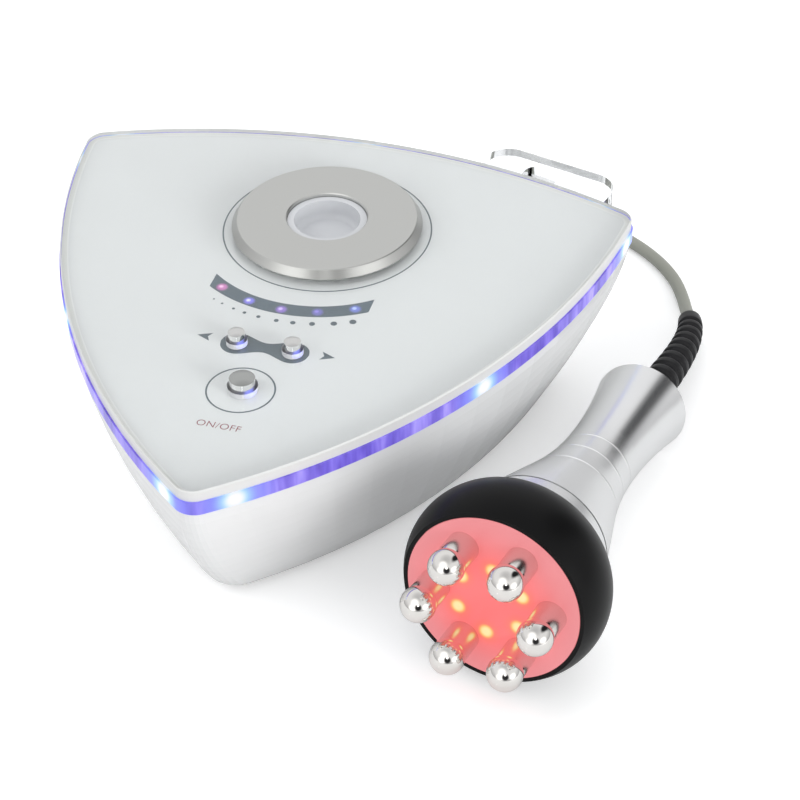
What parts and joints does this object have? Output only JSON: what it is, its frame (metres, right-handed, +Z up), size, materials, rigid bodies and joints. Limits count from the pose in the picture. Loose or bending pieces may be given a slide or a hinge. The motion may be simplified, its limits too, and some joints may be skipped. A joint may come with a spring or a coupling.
{
  "type": "facial toning device",
  "caption": "Desktop console with a light band, a key pad and a centre cup, and a corded handpiece with ball electrodes that lies beside it.",
  "frame": {"origin": "middle of the footprint of the console and the handpiece, on the table", "axes": "+Z up from the table; +Y from the console's front corner to its straight back; +X to the console's right, where the handpiece lies"},
  "size_m": [0.269, 0.313, 0.08],
  "materials": {
    "housing_white": "gloss white moulded plastic",
    "clear_acrylic": "polished clear acrylic",
    "printed_film": "pale film with grey-blue print",
    "band_violet": "translucent diffuser, lit violet-blue",
    "led": "clear lens, lit",
    "ring_metal": "fine satin",
    "cup_frost": "frosted white",
    "cap_chrome": "polished",
    "board_green": "solder mask",
    "part_dark": "moulded, matte",
    "coil_copper": "wound copper and ferrite",
    "sink_aluminium": "anodised",
    "screw_steel": "plated",
    "rubber_black": "matte, with fine ribs",
    "cord_grey": "smooth matte grey",
    "plug_metal": "knurled, nickel plated",
    "bezel_black": "satin black",
    "disc_red": "translucent diffuser, lit red",
    "electrode_steel": "polished",
    "nut_brass": "plain",
    "handle_silver": "satin silver lacquer",
    "wire_jacket": "smooth"
  },
  "bodies": {
    "root": {"lower_housing": "housing_white", "light_band": "band_violet", "band_strip": "part_dark", "band_leds": "led", "top_frame": "housing_white", "printed_film": "printed_film", "top_panel": "clear_acrylic", "metal_ring": "ring_metal", "centre_cup": "cup_frost", "control_board": "board_green", "key_switches": "part_dark", "level_lamps": "led", "ribbon_cable": "wire_jacket", "main_board": "board_green", "rf_transformer": "coil_copper", "heat_sink": "sink_aluminium", "capacitors": "part_dark", "board_screws": "screw_steel", "housing_screws": "screw_steel", "rubber_feet": "rubber_black", "handpiece_socket": "plug_metal", "socket_nut": "plug_metal", "power_inlet": "part_dark", "handpiece_holder": "clear_acrylic", "cord_coil": "cord_grey", "cord_tail": "cord_grey", "cord_plug": "plug_metal", "plug_relief": "rubber_black"},
    "on_off_button": {"on_off_button": "cap_chrome"},
    "level_down_button": {"level_down_button": "cap_chrome"},
    "level_up_button": {"level_up_button": "cap_chrome"},
    "handpiece": {"head_bezel": "bezel_black", "diffuser_disc": "disc_red", "electrodes": "electrode_steel", "electrode_nuts": "nut_brass", "head_board": "board_green", "head_leds": "led", "head_flange": "handle_silver", "handle_shell": "handle_silver", "rear_cap": "bezel_black", "wire_bundle": "wire_jacket", "strain_relief": "rubber_black", "cord_lead": "cord_grey"}
  },
  "joints": [
    {"name": "on_off_press", "type": "slide", "parent": "root", "child": "on_off_button", "axis": [0, 0, -1], "range_m": [0, 0.001], "stiffness_N_per_m": 800, "springref_m": -0.0005},
    {"name": "level_down_press", "type": "slide", "parent": "root", "child": "level_down_button", "axis": [0, 0, -1], "range_m": [0, 0.0008], "stiffness_N_per_m": 800, "springref_m": -0.0005},
    {"name": "level_up_press", "type": "slide", "parent": "root", "child": "level_up_button", "axis": [0, 0, -1], "range_m": [0, 0.0008], "stiffness_N_per_m": 800, "springref_m": -0.0005},
    {"name": "handpiece_lift", "type": "slide", "parent": "root", "child": "handpiece", "axis": [0, 0, 1], "range_m": [0, 0.08], "deforming": ["cord_lead"]}
  ]
}
